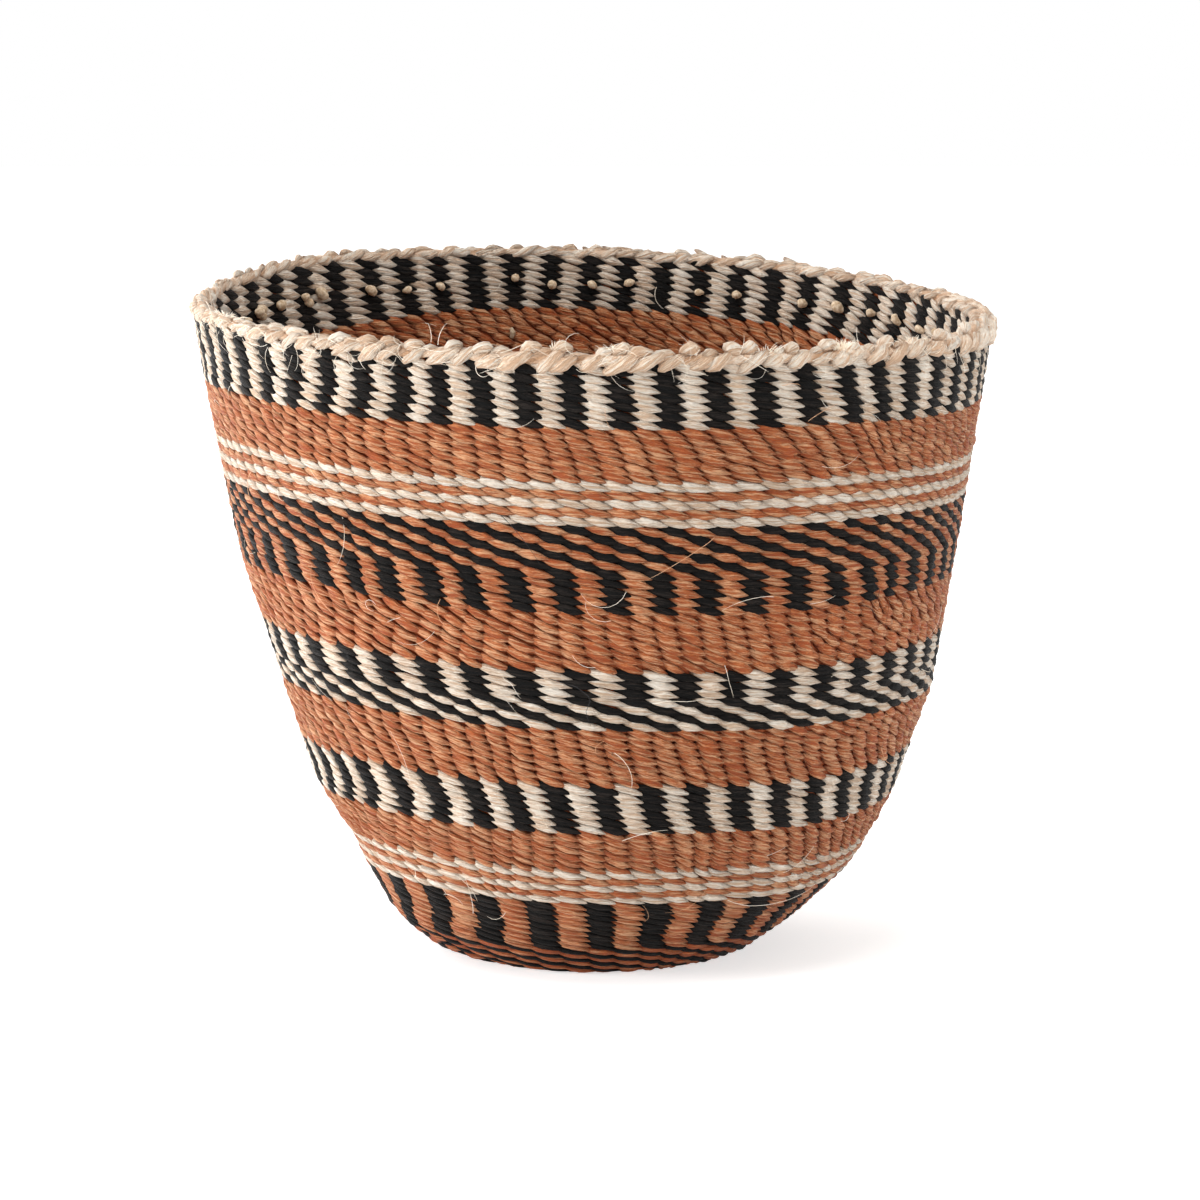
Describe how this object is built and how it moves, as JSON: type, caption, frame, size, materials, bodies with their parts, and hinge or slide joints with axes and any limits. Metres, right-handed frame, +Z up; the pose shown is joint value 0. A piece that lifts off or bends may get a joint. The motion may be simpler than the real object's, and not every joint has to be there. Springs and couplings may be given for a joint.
{
  "type": "kiondo basket",
  "caption": "Open hand-twined sisal basket, flared from a small round base to a wide plaited rim, in banded stripes, diagonals and plain courses.",
  "frame": {"origin": "on the surface that the basket stands on, under the middle of its mouth", "axes": "+Z up, out of the mouth; X to the right and +Y away from someone who faces the basket's front"},
  "size_m": [0.28, 0.28, 0.234],
  "materials": {
    "start_courses": "matte sisal fibre",
    "base_courses": "matte sisal fibre",
    "curve_courses_brown_black": "matte sisal fibre",
    "weft_stripes_lowest_brown_black": "matte sisal fibre",
    "weft_lines_lower_cream_brown": "matte sisal fibre",
    "weft_plain_lowest_brown": "matte sisal fibre",
    "weft_stripes_lower_cream_black": "matte sisal fibre",
    "weft_plain_lower_brown": "matte sisal fibre",
    "weft_diagonals_lower_cream_black": "matte sisal fibre",
    "weft_stripes_middle_cream_black": "matte sisal fibre",
    "weft_plain_middle_brown": "matte sisal fibre",
    "weft_stripes_upper_brown_black": "matte sisal fibre",
    "weft_diagonals_upper_brown_black": "matte sisal fibre",
    "weft_lines_upper_cream_brown": "matte sisal fibre",
    "weft_plain_upper_brown": "matte sisal fibre",
    "weft_stripes_top_cream_black": "matte sisal fibre",
    "rim_braid": "matte sisal fibre",
    "warps": "matte sisal fibre"
  },
  "bodies": {
    "root": {"start_courses": "start_courses", "base_courses": "base_courses", "curve_courses_brown_black": "curve_courses_brown_black", "weft_stripes_lowest_brown_black": "weft_stripes_lowest_brown_black", "weft_lines_lower_cream_brown": "weft_lines_lower_cream_brown", "weft_plain_lowest_brown": "weft_plain_lowest_brown", "weft_stripes_lower_cream_black": "weft_stripes_lower_cream_black", "weft_plain_lower_brown": "weft_plain_lower_brown", "weft_diagonals_lower_cream_black": "weft_diagonals_lower_cream_black", "weft_stripes_middle_cream_black": "weft_stripes_middle_cream_black", "weft_plain_middle_brown": "weft_plain_middle_brown", "weft_stripes_upper_brown_black": "weft_stripes_upper_brown_black", "weft_diagonals_upper_brown_black": "weft_diagonals_upper_brown_black", "weft_lines_upper_cream_brown": "weft_lines_upper_cream_brown", "weft_plain_upper_brown": "weft_plain_upper_brown", "weft_stripes_top_cream_black": "weft_stripes_top_cream_black", "rim_braid": "rim_braid", "warps": "warps"}
  },
  "joints": []
}
